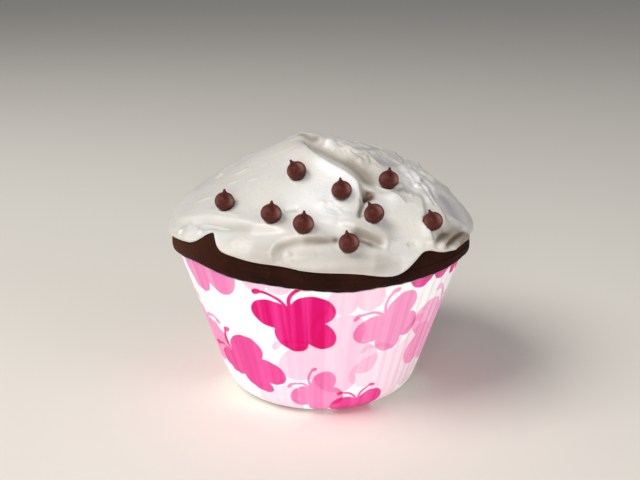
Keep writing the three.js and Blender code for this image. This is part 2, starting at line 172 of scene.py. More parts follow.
def closed_skin(name, rows, first, last, material, values=None):
    """A closed mesh from rings of points and the point that each end closes on.
    Values are named numbers or vectors kept on its corners, for the material."""
    count, steps = rows.shape[:2]
    points = np.concatenate([rows.reshape(-1, 3), [first], [last]])
    low = np.arange(steps)
    following = (low + 1) % steps
    faces = []
    for row in range(count - 1):
        near = row * steps
        far = near + steps
        faces.append(np.stack([near + low, near + following, far + following, far + low], axis=1))
    quads = np.concatenate(faces).tolist()
    start = len(points) - 2
    floor_fan = [[start, int(b), int(a)] for a, b in zip(low, following)]
    top = (count - 1) * steps
    top_fan = [[start + 1, int(top + a), int(top + b)] for a, b in zip(low, following)]
    mesh = bpy.data.meshes.new(name)
    mesh.from_pydata((points * MM).tolist(), [], quads + floor_fan + top_fan)
    mesh.polygons.foreach_set("use_smooth", [True] * len(mesh.polygons))
    for label, rings in (values or {}).items():
        flat = rings.reshape(count * steps, -1)
        flat = np.concatenate([flat, flat[:1], flat[-1:]])
        kind = "FLOAT" if flat.shape[1] == 1 else "FLOAT_VECTOR"
        kept = mesh.attributes.new(label, kind, "POINT")
        kept.data.foreach_set("value" if kind == "FLOAT" else "vector", flat.ravel())
    mesh.materials.append(material)
    mesh.update()
    piece = bpy.data.objects.new(name, mesh)
    bpy.context.scene.collection.objects.link(piece)
    return piece


def linear(colour):
    """An sRGB hex colour as the linear values that a shader takes."""
    parts = [int(colour[at:at + 2], 16) / 255 for at in (1, 3, 5)]
    parts = [p / 12.92 if p <= 0.04045 else ((p + 0.055) / 1.055) ** 2.4 for p in parts]
    return (*parts, 1.0)


def add_node(tree, kind, inputs=None, **settings):
    """Adds a node with its settings. An input takes a value or the socket that feeds it."""
    node = tree.nodes.new(kind)
    for label, value in settings.items():
        setattr(node, label, value)
    for socket, value in (inputs or {}).items():
        if isinstance(value, bpy.types.NodeSocket):
            tree.links.new(value, node.inputs[socket])
        else:
            node.inputs[socket].default_value = value
    return node


def empty_material(label):
    material = bpy.data.materials.new(label)
    material.use_nodes = True
    material.node_tree.nodes.clear()
    return material, material.node_tree


def ellipse_distance(u, v, ellipse):
    """How far points lie outside an ellipse, in its own units; negative inside."""
    middle_u, middle_v, half_u, half_v, turn = ellipse
    turn = math.radians(turn)
    across = (u - middle_u) * math.cos(turn) + (v - middle_v) * math.sin(turn)
    along = (v - middle_v) * math.cos(turn) - (u - middle_u) * math.sin(turn)
    first = np.hypot(across / half_u, along / half_v)
    second = np.hypot(across / half_u**2, along / half_v**2)
    return first * (first - 1) / np.maximum(second, 1e-9)


def feeler_distance(u, v):
    """How far points lie outside the thin curved feeler."""
    root, bend, tip = (np.array(point) for point in FEELER)
    best = np.full(u.shape, np.inf)
    for part in np.linspace(0, 1, 25):
        spot = (1 - part) ** 2 * root + 2 * part * (1 - part) * bend + part**2 * tip
        best = np.minimum(best, np.hypot(u - spot[0], v - spot[1]))
    return best - FEELER_HALF_WIDTH


def butterfly_distance(u, v):
    """How far points lie outside the butterfly; both its halves are alike."""
    side = np.abs(u)
    best = ellipse_distance(side, v, UPPER_WING)
    for ellipse in (LOWER_WING, BODY, FEELER_KNOB):
        best = np.minimum(best, ellipse_distance(side, v, ellipse))
    return np.minimum(best, feeler_distance(side, v))


def print_distances(angle, height):
    """For each ink, how far points of the wall lie outside its nearest butterfly, in mm."""
    layout = [
        (ink, turned + half, *rest) for half in (0, 180) for ink, turned, *rest in BUTTERFLIES
    ]
    distances = {ink: np.full(angle.shape, FAR_FROM_INK) for ink in INKS}
    radius = CASE_FOOT_RADIUS + CASE_WALL_SLOPE * height
    for ink, middle, level, span, turn, *shape in layout + SIDE_BUTTERFLIES:
        lean, left_part = shape or (0, 1)
        apart = (np.degrees(angle) - middle + 180) % 360 - 180
        across = np.radians(apart) * radius
        upwards = (height - level) / math.cos(wall_tilt)
        near = np.hypot(across, upwards) < BUTTERFLY_REACH * span
        turn = math.radians(turn)
        u = (across[near] * math.cos(turn) + upwards[near] * math.sin(turn)) / span
        v = (upwards[near] * math.cos(turn) - across[near] * math.sin(turn)) / span
        u = u + lean * v
        u = np.where(u < 0, u / left_part, u)
        distances[ink][near] = np.minimum(distances[ink][near], butterfly_distance(u, v) * span)
    return distances


def flute_fold(angle, height):
    """How far the flutes stand out: soft crests with tighter folds between them."""
    wave = np.arcsin(CASE_FLUTE_SOFTNESS * np.cos(CASE_FLUTES * angle))
    wave = wave / math.asin(CASE_FLUTE_SOFTNESS)
    uneven = 1 + CASE_FLUTE_UNEVENNESS * np.sin(7 * angle + 1) * np.sin(11 * angle)
    full = smoothstep(height, CASE_FLUTE_START, CASE_FLUTE_FULL)
    return 0.5 * CASE_FLUTE_DEPTH * wave * uneven * full


def case_material():
    # Greaseproof paper: matt and bright white, with a faint fibre and see-through inks.
    material, tree = empty_material("greaseproof_paper_printed")
    around = add_node(tree, "ShaderNodeAttribute", attribute_name="around").outputs["Vector"]
    # Painted shade of the flutes: streaks about 3 mm apart, so they barely change upwards.
    streaks = add_node(
        tree, "ShaderNodeTexNoise",
        {"Vector": around, "Scale": 0.36, "Detail": 2.0, "Roughness": 0.6},
    ).outputs["Fac"]
    painted_flute_shade = add_node(
        tree, "ShaderNodeMapRange", {"Value": streaks, "From Min": 0.4, "From Max": 0.6},
        interpolation_type="SMOOTHSTEP",
    ).outputs["Result"]
    colour = linear(PAPER_WHITE)
    for ink, (lighter_shade, full) in INKS.items():
        distance = add_node(tree, "ShaderNodeAttribute", attribute_name=f"ink_{ink}")
        # Ink spreads a little into paper, so its edge takes a quarter of a millimetre.
        cover = add_node(
            tree, "ShaderNodeMapRange",
            {"Value": distance.outputs["Fac"], "From Min": INK_EDGE, "From Max": -INK_EDGE},
        ).outputs["Result"]
        # Painted shade: each ink turns darker in streaks that stand for the shade of the flutes.
        ink_with_painted_shade = add_node(
            tree, "ShaderNodeMix", {"Factor": painted_flute_shade, "A": linear(lighter_shade), "B": linear(full)},
            data_type="RGBA",
        ).outputs["Result"]
        colour = add_node(
            tree, "ShaderNodeMix", {"Factor": cover, "A": colour, "B": ink_with_painted_shade},
            data_type="RGBA", blend_type="MULTIPLY",
        ).outputs["Result"]
    # Fibres are about 0.5 mm wide and run upwards.
    fibre = add_node(
        tree, "ShaderNodeTexNoise",
        {"Vector": around, "Scale": 2.2, "Detail": 4.0, "Roughness": 0.65},
    ).outputs["Fac"]
    bump = add_node(
        tree, "ShaderNodeBump", {"Strength": 0.25, "Distance": 0.00008, "Height": fibre}
    )
    roughness = add_node(
        tree, "ShaderNodeMapRange", {"Value": fibre, "To Min": 0.5, "To Max": 0.72}
    )
    shader = add_node(tree, "ShaderNodeBsdfPrincipled", {
        "Base Color": colour,
        "Roughness": roughness.outputs["Result"],
        "IOR": 1.45,
        "Specular IOR Level": 0.15,
        "Normal": bump.outputs["Normal"],
    })
    add_node(tree, "ShaderNodeOutputMaterial", {"Surface": shader.outputs["BSDF"]})
    return material


def cake_lip_height(angle):
    return edge_height(CAKE_LIP_HEIGHT, CAKE_LIP_LOBES, angle)


def make_paper_case():
    angle = spaced_angles(CASE_STEPS, 0)
    wave = CASE_RIM_WAVE * (1 + np.sin(CASE_FLUTES * angle / 4))
    rim = cake_lip_height(angle) - CASE_GAP - wave
    rings = []
    heights = []

    def add_ring(radius, height):
        rings.append(at_radius(angle, radius + flute_fold(angle, height), height))
        heights.append(height + 0 * angle)

    for radius in CASE_FLOOR_RINGS:
        add_ring(radius, 0 * angle)
    for radius, height in zip(*cup_corner(0, CASE_CORNER_ROWS)):
        add_ring(radius, height + 0 * angle)
    corner_top = heights[-1]
    for row in range(1, CASE_WALL_ROWS + 1):
        height = corner_top + (rim - corner_top) * row / CASE_WALL_ROWS
        add_ring(cup_wall_radius(height, 0), height)
    printed_rows = len(rings)
    for row in range(CASE_INSIDE_ROWS + 1):
        height = rim + (corner_top - rim) * row / CASE_INSIDE_ROWS
        add_ring(cup_wall_radius(height, CASE_THICKNESS), height)
    inner_radii, inner_heights = cup_corner(CASE_THICKNESS, 3)
    for radius, height in list(zip(inner_radii, inner_heights))[-2::-1]:
        add_ring(radius, height + 0 * angle)
    rows = np.stack(rings)
    height = np.stack(heights)
    turned = np.broadcast_to(angle, height.shape)
    distances = print_distances(turned, height)
    values = {}
    for ink, distance in distances.items():
        distance[printed_rows:] = FAR_FROM_INK
        values[f"ink_{ink}"] = distance
    values["around"] = at_radius(turned, STREAK_RADIUS, STREAK_CLIMB * height)
    return closed_skin(
        "paper_cup_printed", rows, (0, 0, 0), (0, 0, CASE_THICKNESS), case_material(), values
    )


paper_case = make_paper_case()
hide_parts("paper_case")
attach(paper_case, "root")

# ----------------------------------------
# The cake: a dark chocolate sponge, baked in its case. The batter rose over the rim and set
# in a soft rolled lip, with a nearly smooth crust of fine crumb. Its dome is under the frosting.

CAKE_RADIUS = 37.9
CAKE_TOP_HEIGHT = 53.5
CAKE_DOME_POWER = 2.2
CAKE_LIP_RISE = 3.3
CAKE_WALL_START = 5
CAKE_CRUMB_DEPTH = 0.13
CAKE_CRUMB_SIZE = 2.4
CAKE_SWELL_SIZE = 9.0
CAKE_SWELL_SHARE = 0.8
CAKE_CRUST_SINK = 0.06
# Painted light on the bare edge at the left: how strong, and between which angles it comes and
# goes.
CAKE_PAINTED_LIGHT = 0.55
CAKE_PAINTED_LIGHT_FROM = (30, 75)
CAKE_PAINTED_LIGHT_TO = (110, 150)

SPONGE_DARK = "#1F0C06"
SPONGE_MIDDLE = "#2E140B"
SPONGE_CRUMB = "#482314"
SPONGE_PAINTED_LIGHT = "#5A3322"

CAKE_STEPS = 640
CAKE_CROWDING = 0.4
CAKE_WALL_PARTS = (0.3, 0.6, 0.85, 1.0)
CAKE_LIP_ROWS = 12
CAKE_SHOWN_ROWS = 32
CAKE_SHOWN_TURN = math.radians(48)
CAKE_HIDDEN_ROWS = 8
QUARTER_TURN = math.pi / 2
NOISE_ROUGHNESS = 0.9
NOISE_LACUNARITY = 2.1


def cake_dome_point(angle, turn, wider, higher):
    """The dome of the cake, or a skin over it. The turn is 0 at its top."""
    foot = cake_lip_height(angle) + CAKE_LIP_RISE
    outwards = np.sin(turn) ** (2 / CAKE_DOME_POWER)
    upwards = np.maximum(np.cos(turn), 0) ** (2 / CAKE_DOME_POWER)
    height = foot + (CAKE_TOP_HEIGHT + higher - foot) * upwards
    return at_radius(angle, (CAKE_RADIUS + wider) * outwards, height)


def noise_at(points, scale, octaves=3):
    """Soft noise of about -1 to 1 at points in mm; the scale is the size of a lump in mm."""
    values = [
        noise.fractal(Vector(point) / scale, NOISE_ROUGHNESS, NOISE_LACUNARITY, octaves)
        for point in points.reshape(-1, 3).tolist()
    ]
    return np.array(values).reshape(points.shape[:-1])


def cake_material():
    # Chocolate sponge: almost black brown, dull, with lighter crumbs where the crust is rubbed.
    material, tree = empty_material("chocolate_sponge_crust")
    place = add_node(tree, "ShaderNodeTexCoord").outputs["Object"]
    # Crumbs are about 1 mm, bubbles about 2.5 mm, patches about 9 mm.
    crumb = add_node(
        tree, "ShaderNodeTexNoise",
        {"Vector": place, "Scale": 900.0, "Detail": 5.0, "Roughness": 0.62},
    ).outputs["Fac"]
    patches = add_node(
        tree, "ShaderNodeTexNoise",
        {"Vector": place, "Scale": 110.0, "Detail": 3.0, "Roughness": 0.5},
    ).outputs["Fac"]
    shades = add_node(tree, "ShaderNodeValToRGB", {"Fac": patches})
    stops = [(0.35, SPONGE_DARK), (0.68, SPONGE_MIDDLE)]
    for stop, (position, shade) in zip(shades.color_ramp.elements, stops):
        stop.position = position
        stop.color = linear(shade)
    rubbed = add_node(
        tree, "ShaderNodeMapRange",
        {"Value": crumb, "From Min": 0.58, "From Max": 0.78, "To Max": 0.55},
    ).outputs["Result"]
    # Painted light: the bare swollen edge is lighter and redder towards the left.
    painted_left_light = add_node(tree, "ShaderNodeAttribute", attribute_name="painted_left_light").outputs["Fac"]
    colour = shades.outputs["Color"]
    for share, shade in [(rubbed, SPONGE_CRUMB), (painted_left_light, SPONGE_PAINTED_LIGHT)]:
        colour = add_node(
            tree, "ShaderNodeMix", {"Factor": share, "A": colour, "B": linear(shade)},
            data_type="RGBA",
        ).outputs["Result"]
    bubbles = add_node(
        tree, "ShaderNodeTexVoronoi", {"Vector": place, "Scale": 420.0}, feature="SMOOTH_F1"
    )
    relief = add_node(
        tree, "ShaderNodeMath", {0: crumb, 1: bubbles.outputs["Distance"]}, operation="ADD"
    )
    bump = add_node(
        tree, "ShaderNodeBump",
        {"Strength": 0.5, "Distance": 0.00025, "Height": relief.outputs["Value"]},
    )
    roughness = add_node(
        tree, "ShaderNodeMapRange", {"Value": crumb, "To Min": 0.62, "To Max": 0.9}
    )
    shader = add_node(tree, "ShaderNodeBsdfPrincipled", {
        "Base Color": colour,
        "Roughness": roughness.outputs["Result"],
        "IOR": 1.45,
        "Specular IOR Level": 0.08,
        "Normal": bump.outputs["Normal"],
    })
    add_node(tree, "ShaderNodeOutputMaterial", {"Surface": shader.outputs["BSDF"]})
    return material


def make_cake():
    angle = spaced_angles(CAKE_STEPS, CAKE_CROWDING)
    lip = cake_lip_height(angle)
    inset = CASE_THICKNESS + CASE_GAP + CASE_FLUTE_DEPTH / 2
    rings = []
    for radius, height in zip(*cup_corner(inset, 3)):
        rings.append(at_radius(angle, radius, height))
    for part in CAKE_WALL_PARTS:
        height = CAKE_WALL_START + (lip - CAKE_WALL_START) * part
        rings.append(at_radius(angle, cup_wall_radius(height, inset), height))
    first_shown = len(rings)
    rim = cup_wall_radius(lip, 0)
    for turn in np.linspace(0, QUARTER_TURN, CAKE_LIP_ROWS):
        radius = rim + (CAKE_RADIUS - rim) * math.sin(turn)
        rings.append(at_radius(angle, radius, lip + CAKE_LIP_RISE * (1 - math.cos(turn))))
    shown = np.linspace(QUARTER_TURN, CAKE_SHOWN_TURN, CAKE_SHOWN_ROWS)
    hidden = np.linspace(CAKE_SHOWN_TURN, 0, CAKE_HIDDEN_ROWS + 1)[1:-1]
    for turn in [*shown, *hidden]:
        rings.append(cake_dome_point(angle, turn, 0, 0))
    rows = np.stack(rings)
    crust = rows[first_shown:first_shown + CAKE_LIP_ROWS + CAKE_SHOWN_ROWS]
    outwards = crust * [1, 1, 0.25]
    outwards = outwards / np.linalg.norm(outwards, axis=-1, keepdims=True)
    swells = noise_at(crust + 50, CAKE_SWELL_SIZE, 2)
    lumps = noise_at(crust, CAKE_CRUMB_SIZE, 4) + CAKE_SWELL_SHARE * swells
    crust += outwards * (CAKE_CRUMB_DEPTH * lumps - CAKE_CRUST_SINK)[..., None]
    # Painted light: the crust turns lighter and redder towards the left side.
    leftwards = (180 - np.degrees(angle) + 0 * rows[..., 2]) % 360 - 180
    painted_left_light = smoothstep(leftwards, *CAKE_PAINTED_LIGHT_FROM) * (1 - smoothstep(leftwards, *CAKE_PAINTED_LIGHT_TO))
    return closed_skin(
        "chocolate_sponge", rows, (0, 0, inset), (0, 0, CAKE_TOP_HEIGHT), cake_material(),
        {"painted_left_light": CAKE_PAINTED_LIGHT * painted_left_light},
    )


cake = make_cake()
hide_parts("cake")
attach(cake, "root")

# ----------------------------------------
# The frosting: whipped vanilla buttercream, spread with a knife. A smooth sheet is drawn up
# the left side to a crest, a fold lies across the front, and the right side is rough where
# the knife lifted. Its lower edge is rolled and hangs in lobes over the cake.

FROSTING_RADIUS = 38.2
FROSTING_PEAK = np.array([-3.4, 2.5, 64.8])
FROSTING_SHOULDER_HEIGHT = 43.2
FROSTING_POWER = 1.45
FROSTING_POWER_SWING = 0.08
FROSTING_HEM_HEIGHT = 42
FROSTING_HEM_ROLL = 0.45
FROSTING_HEM_SWELL = 0.35
FROSTING_HEM_SWELL_WIDTH = 2
FROSTING_CEILING = 0.6
FROSTING_HEM_LOBES = [
    (-108, 18, -1.8),
    (-43.5, 20, 2.3),
    (-44.4, 3.4, 2.9),
    (-13.5, 5.5, 0.5),
    (27, 8.5, -2.1),
    (37.5, 5.5, 2.7),
    (75, 26, 0.8),
    (128, 6, 3),
    (160, 16, -1),
    (-142, 6, 3.6),
]


def dab(height, width, angle, station):
    """A round lump or hollow: a stroke of the knife with a single stop."""
    return (height, width, width, [(angle, station)])


# The knife's strokes: height, width on the left and on the right of the way it runs, and
# stops on its way, each an angle in degrees and a station: 0 on the peak, 1 where the flank
# turns upright.
STROKES = [
    # The crest of the left sheet, the valley beside it, and the hollow at its foot.
    (1.7, 1, 5, [
        (-140, 0.1), (-11, 0.22), (4, 0.305), (14, 0.37), (20, 0.425), (24, 0.495), (21, 0.56),
        (16, 0.645),
    ]),
    (-1.5, 2.8, 2.8, [(40, 0.075), (16, 0.155), (31, 0.265), (38, 0.345), (36, 0.43), (29, 0.51)]),
    (-0.6, 2.2, 2.2, [(45, 0.23), (46, 0.325), (43, 0.41), (38, 0.485), (32, 0.555)]),
    dab(-2.0, 1.8, 27, 0.535),
    # The brow behind the crest, and the scoop and shoulder down the left flank.
    dab(0.6, 4.5, -160, 0.11),
    dab(-1.3, 8, -104, 0.56),
    dab(0.9, 5.5, -92, 0.77),
    dab(-0.6, 2.4, -113, 0.36),
    dab(-0.5, 5, -120, 0.34),
    dab(0.7, 3.5, -103, 0.4),
    # Lumps and scoops behind the valley, as far as the rough skyline on the right.
    dab(1.0, 1.8, 50, 0.165),
    dab(0.5, 1.5, 60, 0.25),
    dab(-0.7, 3.8, 72, 0.395),
    dab(-0.9, 4, 135, 0.34),
    dab(-0.6, 2.5, 115, 0.24),
    (0.6, 1.1, 1.8, [(110, 0.43), (100, 0.5), (90, 0.57), (82, 0.62)]),
    (0.9, 1.1, 1.6, [(76, 0.435), (71, 0.505), (65, 0.565)]),
    dab(0.7, 2.6, 107, 0.545),
    dab(0.7, 2.2, 111, 0.45),
    dab(-0.6, 2.6, 97, 0.6),
    dab(-0.6, 2.6, 103, 0.49),
    dab(-1.6, 1.6, 101, 0.65),
    dab(-1.0, 1.4, 94, 0.635),
    dab(0.6, 1.8, 98, 0.73),
    dab(-1.1, 3, 96, 0.78),
    # The flat plane at the far right, its raised edge, and the long scoop left of that.
    (-0.5, 3.8, 3.8, [(78, 0.66), (72, 0.74), (66, 0.835)]),
    (0.9, 1.1, 2.6, [(71, 0.56), (62, 0.61), (58, 0.665), (57, 0.735), (53, 0.805)]),
    (-0.7, 2.4, 2.4, [(33, 0.585), (30, 0.655), (29, 0.735), (29, 0.825)]),
    dab(0.6, 1.8, 39, 0.58),
    # The lobe on the right, which ends upright, and the ridges that run down beside it.
    (1.2, 1, 4, [(56, 0.585), (49, 0.655), (44, 0.745), (42, 0.845), (40, 0.945)]),
    (0.8, 0.9, 0.9, [(44, 0.95), (48, 0.905), (55, 0.875), (66, 0.88)]),
    (0.8, 0.9, 0.9, [(50, 1.02), (55, 0.995), (62, 0.965), (69, 0.975)]),
    # The fold across the front, the wedge that it leaves, and the roll under it.
    (1.4, 5, 1, [(-17, 1.005), (-16, 0.88), (-14, 0.81), (-9, 0.765), (-2, 0.755), (7, 0.745)]),
    (1.1, 4, 1, [(7, 0.675), (13, 0.695), (18, 0.725), (22, 0.775), (25, 0.845)]),
    (-1.2, 1.2, 1.2, [(11, 0.735), (16, 0.76), (20, 0.79), (24, 0.825)]),
    (0.6, 1.8, 1.8, [(-12, 0.925), (-3, 0.885), (6, 0.905), (16, 0.935), (26, 0.965)]),
    # The edge of the sheet along the left, and the lobes that bulge under it.
    (1.0, 5, 1, [
        (-79, 0.87), (-62, 0.765), (-48, 0.725), (-36, 0.71), (-27, 0.715), (-17, 0.715),
        (-9, 0.725),
    ]),
    (-0.5, 1.1, 1.1, [(-60, 0.785), (-46, 0.755), (-34, 0.735), (-24, 0.725)]),
    dab(0.9, 3, -56, 0.845),
    dab(0.6, 3, -30, 0.82),
    # The small crease above the front drops and the lumps beside it.
    (-0.5, 0.8, 0.8, [(-15, 0.62), (-12, 0.605), (-8, 0.595)]),
    dab(0.5, 1.5, 2, 0.575),
    dab(0.6, 1.7, 6, 0.65),
]
# Four more turns of the knife round the back.
for start in (118, 158, 198, 238):
    STROKES.append((1.1, 1.2, 5, [(start, 0.93), (start + 14, 0.66), (start + 36, 0.42)]))
# Finer marks of the same kind: crisp edges on the folds, torn wisps, wet lumps and scratches.
FINE_STROKES = [
    # Crisp edges on the crest and in the hollow at its foot.
    (0.35, 0.4, 1.6, [
        (-10, 0.235), (3, 0.315), (13, 0.38), (20, 0.435), (23, 0.5), (20, 0.565), (17, 0.63),
    ]),
    (-0.9, 0.55, 0.55, [(29, 0.515), (23, 0.57), (20, 0.615), (16, 0.675)]),
    dab(0.4, 0.6, 29, 0.545),
    # The fold's lip, the shadow gap under it, and the lips of the wedge.
    (0.4, 1.8, 0.35, [
        (-16, 0.995), (-16, 0.885), (-14, 0.82), (-8, 0.775), (-2, 0.765), (6, 0.755),
    ]),
    (-0.4, 0.5, 0.5, [(-16, 0.945), (-15, 0.845), (-12, 0.795), (-6, 0.775), (1, 0.77), (6, 0.77)]),
    (0.4, 1.6, 0.35, [(8, 0.685), (13, 0.71), (18, 0.745), (22, 0.795), (24, 0.855)]),
    (0.35, 0.7, 1.2, [(12, 0.795), (15, 0.83), (20, 0.85), (25, 0.865)]),
    # Thin lips where the knife left the sheet on the left, and wet spots on the lobes.
    (0.3, 1.5, 0.35, [(-58, 0.74), (-46, 0.71), (-35, 0.705), (-25, 0.71), (-17, 0.715)]),
    (0.2, 0.8, 0.3, [(-55, 0.69), (-43, 0.675), (-32, 0.68)]),
    (-0.3, 0.5, 0.5, [(-54, 0.77), (-42, 0.745), (-32, 0.735), (-24, 0.725)]),
    dab(0.45, 0.7, -63, 0.88),
    dab(0.35, 0.8, -50, 0.815),
    dab(0.25, 0.8, -58, 0.81),
    (0.3, 0.6, 0.6, [(-81, 0.545), (-82, 0.525), (-82, 0.5)]),
    (0.2, 0.5, 0.5, [(-65, 0.47), (-61, 0.445), (-60, 0.41)]),
    (0.15, 0.5, 0.5, [(-60, 0.525), (-54, 0.495)]),
    (0.12, 0.4, 0.4, [(-47, 0.485), (-41, 0.445)]),
    (0.15, 0.5, 0.5, [(-70, 0.685), (-64, 0.64), (-59, 0.605)]),
    # Torn wisps and peaks between the drops on the right.
    (0.4, 0.4, 0.9, [(82, 0.455), (88, 0.49), (92, 0.535)]),
    (0.4, 0.4, 0.9, [(73, 0.465), (66, 0.505), (61, 0.545)]),
    (0.35, 0.4, 0.9, [(54, 0.505), (50, 0.545), (46, 0.595)]),
    (0.4, 0.4, 0.9, [(75, 0.495), (68, 0.535), (63, 0.575)]),
    (0.4, 0.4, 0.9, [(76, 0.555), (74, 0.59), (74, 0.63)]),
    (0.25, 0.3, 0.6, [(40, 0.545), (42, 0.585), (42, 0.63)]),
    (-0.35, 0.4, 0.4, [(66, 0.485), (62, 0.53), (57, 0.575)]),
    (-0.35, 0.4, 0.4, [(65, 0.555), (62, 0.6), (58, 0.64)]),
    (-0.45, 0.45, 0.45, [(58, 0.625), (58, 0.66), (56, 0.695)]),
    dab(0.45, 0.7, 61, 0.555),
    dab(0.4, 0.6, 68, 0.575),
    dab(0.45, 0.7, 86, 0.545),
    dab(0.4, 0.8, 50, 0.53),
    dab(0.35, 0.6, 48, 0.595),
    dab(0.4, 0.6, 80, 0.485),
    dab(0.4, 0.6, 57, 0.635),
    (-0.5, 0.5, 0.5, [(72, 0.6), (68, 0.625), (64, 0.66)]),
    (-0.4, 0.4, 0.4, [(98, 0.465), (83, 0.475), (78, 0.51)]),
    # The ridges at the lower right, and the nick beside them.
    (-0.6, 0.5, 0.5, [(47, 0.965), (53, 0.915), (60, 0.9), (69, 0.92)]),
    (-0.5, 0.5, 0.5, [(44, 0.905), (48, 0.855), (54, 0.83)]),
    (-0.4, 0.4, 0.4, [(53, 1.02), (58, 0.985), (67, 1.005)]),
    (0.4, 0.5, 0.5, [(50, 0.97), (56, 0.93), (64, 0.925)]),
    (-0.5, 0.5, 0.5, [(32, 0.86), (34, 0.84), (36, 0.855)]),
    dab(0.3, 0.7, 37, 0.87),
    # Faint knife streaks across the middle, and small lumps.
    (-0.13, 0.3, 0.3, [(-1, 0.62), (7, 0.65), (15, 0.675)]),
    (-0.12, 0.3, 0.3, [(-2, 0.665), (6, 0.69), (13, 0.715)]),
    (-0.12, 0.3, 0.3, [(2, 0.58), (9, 0.605), (16, 0.63)]),
    dab(0.25, 0.5, 7, 0.57),
    dab(0.3, 0.6, 10, 0.61),
    dab(0.25, 0.5, 3, 0.565),
    dab(0.25, 0.8, -11, 0.865),
    dab(0.25, 0.8, -10, 0.93),
    dab(-0.2, 0.7, -1, 0.845),
    dab(0.2, 0.9, -33, 0.825),
    # Dabs of cream on the skyline, and the edges of the flat planes there.
    dab(0.4, 0.8, 43, 0.165),
    dab(0.5, 0.8, 118, 0.3),
    dab(0.4, 0.7, 110, 0.39),
    dab(-0.5, 0.8, 106, 0.46),
    dab(0.5, 0.8, 109, 0.5),
    dab(0.5, 0.7, 107, 0.56),
    dab(-0.4, 0.6, 106, 0.6),
    dab(0.3, 0.6, 7, 0.185),
    dab(0.35, 0.7, 44, 0.21),
    dab(0.25, 0.6, 53, 0.24),
    dab(0.4, 0.7, 51, 0.33),
    (-0.4, 0.5, 0.5, [(68, 0.33), (56, 0.365), (42, 0.41)]),
    (0.3, 0.6, 0.6, [(51, 0.28), (50, 0.33), (46, 0.375)]),
    (-0.35, 0.4, 0.4, [(54, 0.265), (63, 0.305), (83, 0.34)]),
]
STROKE_FADE = 0.2
STROKE_STEPS = 14

# The chocolate drops' places: angle, station, and how far each leans to the left.
DROPS = [
    (-43.8, 0.634, -2),
    (-11.3, 0.42, 29),
    (12.5, 0.538, 7),
    (43.2, 0.504, -4),
    (-18.5, 0.664, -3),
    (-5.5, 0.71, -4),
    (22.4, 0.667, 26),
    (9.8, 0.806, 12),
    (45.7, 0.766, 18),
]
DROP_RADIUS = 2.33
DROP_BELLY_RISE = 2.16
DROP_BELLY_HEIGHT = 1.95
DROP_SINK = 0.7

# Where the frosting is coloured, in the same terms, with a strength in place of the height:
# painted brown shade in the hollow and the deepest creases, painted grey shade in the creases,
# valleys and low front, painted cool shade on the planes at the right, and painted highlights.
# Painted brown shade in the hollow at the crest's foot and in the creases.
PAINTED_BROWN_SHADE_SPOTS = [
    (1.0, 1.45, 1.45, [(31, 0.505), (26, 0.555)]),
    (0.55, 0.45, 0.45, [(24, 0.565), (20, 0.605), (17, 0.67)]),
    dab(0.6, 1.1, 29, 0.54),
    dab(0.5, 0.4, 20, 0.58),
    dab(0.45, 0.35, 18, 0.625),
    dab(0.4, 0.4, 19, 0.65),
    (0.5, 0.7, 0.7, [(-7, 0.785), (-2, 0.775), (3, 0.77), (8, 0.77)]),
    dab(0.5, 0.8, 6, 0.765),
    (0.8, 0.8, 0.8, [(11, 0.735), (14, 0.76), (17, 0.79), (20, 0.825)]),
    (0.9, 0.6, 0.6, [(48, 0.955), (53, 0.915), (59, 0.905), (68, 0.935)]),
    (0.7, 0.6, 0.6, [(45, 0.89), (48, 0.855), (53, 0.84)]),
    (0.7, 0.6, 0.6, [(55, 1.015), (60, 0.975), (68, 1.005)]),
]
# Painted grey shade in the creases, the valley beside the crest and the low front.
PAINTED_GREY_SHADE_SPOTS = [
    (0.8, 2, 1.6, [(-53, 0.075), (18, 0.175), (31, 0.265), (38, 0.34), (38, 0.415), (32, 0.505)]),
    (0.6, 2.4, 2.4, [(47, 0.265), (47, 0.34), (42, 0.425), (36, 0.5)]),
    (0.9, 1, 1, [(-108, 0.11), (-1, 0.09), (53, 0.115)]),
    (0.4, 0.9, 0.9, [(-21, 0.125), (4, 0.205), (15, 0.25)]),
    (0.95, 1.4, 1.4, [(12, 0.72), (16, 0.74), (20, 0.775), (24, 0.825)]),
    (0.55, 0.8, 0.8, [
        (-16, 0.905), (-14, 0.825), (-10, 0.795), (-5, 0.78), (1, 0.775), (6, 0.775),
    ]),
    (0.12, 2.2, 2.2, [(30, 0.6), (29, 0.665)]),
    (0.35, 1.5, 1.5, [(50, 0.535), (46, 0.585), (43, 0.635)]),
    (0.45, 0.8, 0.8, [(-55, 0.785), (-44, 0.755), (-34, 0.735), (-24, 0.725)]),
    (0.9, 2, 2, [(46, 0.88), (52, 0.865), (62, 0.875)]),
    (0.8, 1, 1, [(55, 1), (66, 1.005)]),
    (0.4, 3, 3, [(48, 0.94), (57, 0.94), (67, 0.95)]),
    (0.5, 4, 4, [(-40, 0.855), (-22, 0.895), (-7, 0.935), (3, 0.955), (13, 0.97), (27, 0.955)]),
    (0.4, 2.5, 2.5, [(17, 0.93), (22, 1), (29, 1)]),
    (0.5, 0.45, 0.45, [(-15, 0.62), (-12, 0.605), (-8, 0.6)]),
]
# Painted cool shade on the planes at the right and faintly on the left flank.
PAINTED_COOL_SHADE_SPOTS = [
    (1.0, 3.4, 3, [(62, 0.36), (72, 0.395), (78, 0.445)]),
    (0.9, 0.9, 0.9, [(62, 0.255), (77, 0.295), (101, 0.365)]),
    (1.0, 3.6, 3.6, [(74, 0.645), (71, 0.73), (66, 0.825)]),
    (0.3, 2.5, 2.5, [(72, 0.475), (65, 0.525), (60, 0.585)]),
    dab(0.25, 7, -61, 0.535),
]
